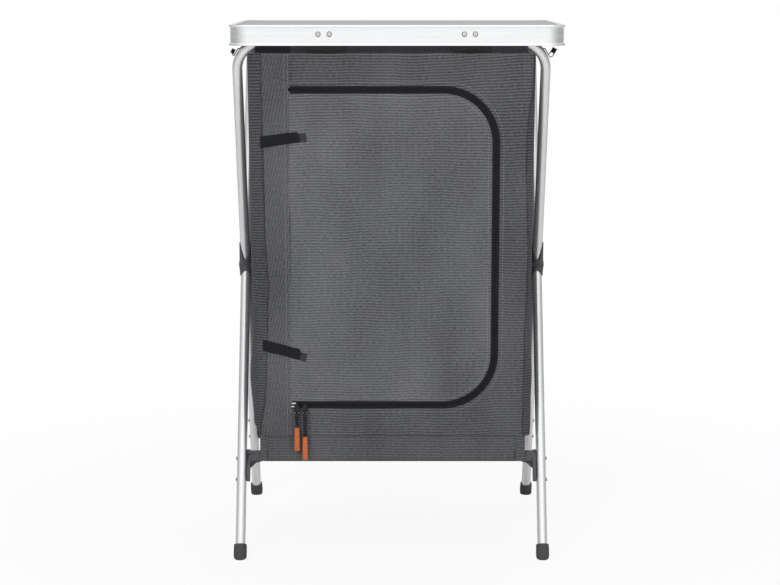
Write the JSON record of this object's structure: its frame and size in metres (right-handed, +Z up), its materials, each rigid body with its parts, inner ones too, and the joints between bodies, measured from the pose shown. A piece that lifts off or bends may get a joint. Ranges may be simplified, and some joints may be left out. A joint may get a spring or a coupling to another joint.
{
  "type": "folding camping cupboard",
  "caption": "Folding camping cupboard: a zipped cloth cabinet with shelves hung in a crossed aluminium tube frame under a rigid hinged top.",
  "frame": {"origin": "on the floor below the middle of the tabletop", "axes": "+Z up, the zipped door faces -Y, +X to the right of someone who faces the door"},
  "size_m": [0.6, 0.5208, 0.966],
  "materials": {
    "aluminium": "satin anodised tube",
    "rim_aluminium": "brushed anodised edge section",
    "board_face": "smooth light grey laminate",
    "grey_plastic": "fine matte moulding",
    "black_plastic": "matte moulding",
    "foot_rubber": "matte moulded cap",
    "steel": "zinc plated",
    "slider_metal": "black lacquered die casting",
    "cabinet_cloth": "woven polyester with fine ribs",
    "black_tape": "woven black tape",
    "orange_rubber": "soft matte pull",
    "shelf_board": "hardboard"
  },
  "bodies": {
    "base_frame": {"rear_bar_tube": "aluminium", "front_leg_left": "aluminium", "front_leg_right": "aluminium", "hub_outer_left": "grey_plastic", "hub_outer_right": "grey_plastic", "pivot_bolt_left": "steel", "pivot_bolt_right": "steel", "foot_front_left": "foot_rubber", "foot_front_right": "foot_rubber", "bracket_front_left": "grey_plastic", "bracket_front_right": "grey_plastic", "bottom_rail_front": "aluminium", "front_hem": "cabinet_cloth", "rear_sleeve": "cabinet_cloth", "front_panel": "cabinet_cloth", "back_panel": "cabinet_cloth", "side_panel_left": "cabinet_cloth", "side_panel_right": "cabinet_cloth", "zip_tape_outer": "black_tape"},
    "swing_frame": {"front_bar_tube": "aluminium", "rear_leg_left": "aluminium", "rear_leg_right": "aluminium", "hub_inner_left": "grey_plastic", "hub_inner_right": "grey_plastic", "foot_rear_left": "foot_rubber", "foot_rear_right": "foot_rubber", "bracket_rear_left": "grey_plastic", "bracket_rear_right": "grey_plastic", "bottom_rail_rear": "aluminium", "rear_hem": "cabinet_cloth", "front_sleeve": "cabinet_cloth"},
    "tabletop": {"tabletop_rim": "rim_aluminium", "tabletop_board": "board_face", "rest_clip_left": "black_plastic", "rest_clip_right": "black_plastic", "hinge_clip_left": "black_plastic", "hinge_clip_right": "black_plastic", "rim_rivet_1": "steel", "rim_rivet_2": "steel", "rim_rivet_3": "steel", "rim_rivet_4": "steel"},
    "door": {"door_panel": "cabinet_cloth", "zip_tape_inner": "black_tape"},
    "strap_upper": {"door_strap_upper": "black_tape"},
    "strap_lower": {"door_strap_lower": "black_tape"},
    "catch_left": {"catch_wire_left": "steel", "catch_grip_left": "black_plastic"},
    "catch_right": {"catch_wire_right": "steel", "catch_grip_right": "black_plastic"},
    "slider_left": {"zip_slider_left": "slider_metal"},
    "slider_right": {"zip_slider_right": "slider_metal"},
    "pull_left": {"pull_cord_left": "black_tape", "pull_tab_left": "orange_rubber"},
    "pull_right": {"pull_cord_right": "black_tape", "pull_tab_right": "orange_rubber"},
    "shelf_low": {"shelf_low_board": "shelf_board"},
    "shelf_mid": {"shelf_mid_board": "shelf_board"},
    "shelf_high": {"shelf_high_board": "shelf_board"}
  },
  "joints": [
    {"name": "frame_fold", "type": "hinge", "parent": "base_frame", "child": "swing_frame", "pos_m": [-0.01, 0, 0.509], "axis": [-1, 0, 0], "range_deg": [0, 48]},
    {"name": "top_lift", "type": "hinge", "parent": "base_frame", "child": "tabletop", "pos_m": [0, 0.2114, 0.939], "axis": [-1, 0, 0], "range_deg": [0, 50]},
    {"name": "door_swing", "type": "hinge", "parent": "base_frame", "child": "door", "pos_m": [-0.194, -0.1823, 0.273], "axis": [0, 0.0494, -0.9988], "range_deg": [0, 110]},
    {"name": "strap_upper_swing", "type": "hinge", "parent": "base_frame", "child": "strap_upper", "pos_m": [-0.246, -0.20608, 0.754], "axis": [0, 0.0494, -0.9988], "range_deg": [0, 100]},
    {"name": "strap_lower_swing", "type": "hinge", "parent": "base_frame", "child": "strap_lower", "pos_m": [-0.246, -0.18734, 0.375], "axis": [0, 0.0494, -0.9988], "range_deg": [0, 100]},
    {"name": "catch_left_swing", "type": "hinge", "parent": "swing_frame", "child": "catch_left", "pos_m": [-0.27, -0.20391, 0.92263], "axis": [1, 0, 0], "range_deg": [0, 80]},
    {"name": "catch_right_swing", "type": "hinge", "parent": "swing_frame", "child": "catch_right", "pos_m": [0.25, -0.20391, 0.92263], "axis": [1, 0, 0], "range_deg": [0, 80]},
    {"name": "slider_left_run", "type": "slide", "parent": "base_frame", "child": "slider_left", "axis": [1, 0, 0], "range_m": [0, 0.004]},
    {"name": "slider_right_run", "type": "slide", "parent": "base_frame", "child": "slider_right", "axis": [1, -0.0037, 0], "range_m": [0, 0.15]},
    {"name": "pull_left_swing", "type": "hinge", "parent": "slider_left", "child": "pull_left", "pos_m": [-0.1833, -0.18925, 0.2698], "axis": [-1, 0, 0], "range_deg": [0, 150]},
    {"name": "pull_right_swing", "type": "hinge", "parent": "slider_right", "child": "pull_right", "pos_m": [-0.1686, -0.18935, 0.2698], "axis": [-1, 0, 0], "range_deg": [0, 150]},
    {"name": "shelf_low_tilt", "type": "hinge", "parent": "base_frame", "child": "shelf_low", "pos_m": [-0.01, -0.169, 0.222], "axis": [1, 0, 0], "range_deg": [0, 66]},
    {"name": "shelf_mid_tilt", "type": "hinge", "parent": "base_frame", "child": "shelf_mid", "pos_m": [-0.01, -0.08476, 0.43], "axis": [1, 0, 0], "range_deg": [0, 66]},
    {"name": "shelf_high_tilt", "type": "hinge", "parent": "base_frame", "child": "shelf_high", "pos_m": [-0.01, 0.01413, 0.67], "axis": [1, 0, 0], "range_deg": [0, 66]}
  ],
  "couplings": [
    {"joint": "top_lift", "follows": "frame_fold", "ratio": 1},
    {"joint": "shelf_low_tilt", "follows": "frame_fold", "ratio": 1.3542},
    {"joint": "shelf_mid_tilt", "follows": "frame_fold", "ratio": 1.3542},
    {"joint": "shelf_high_tilt", "follows": "frame_fold", "ratio": 1.3542},
    {"joint": "strap_upper_swing", "follows": "door_swing", "ratio": 0.9},
    {"joint": "strap_lower_swing", "follows": "door_swing", "ratio": 0.9}
  ]
}
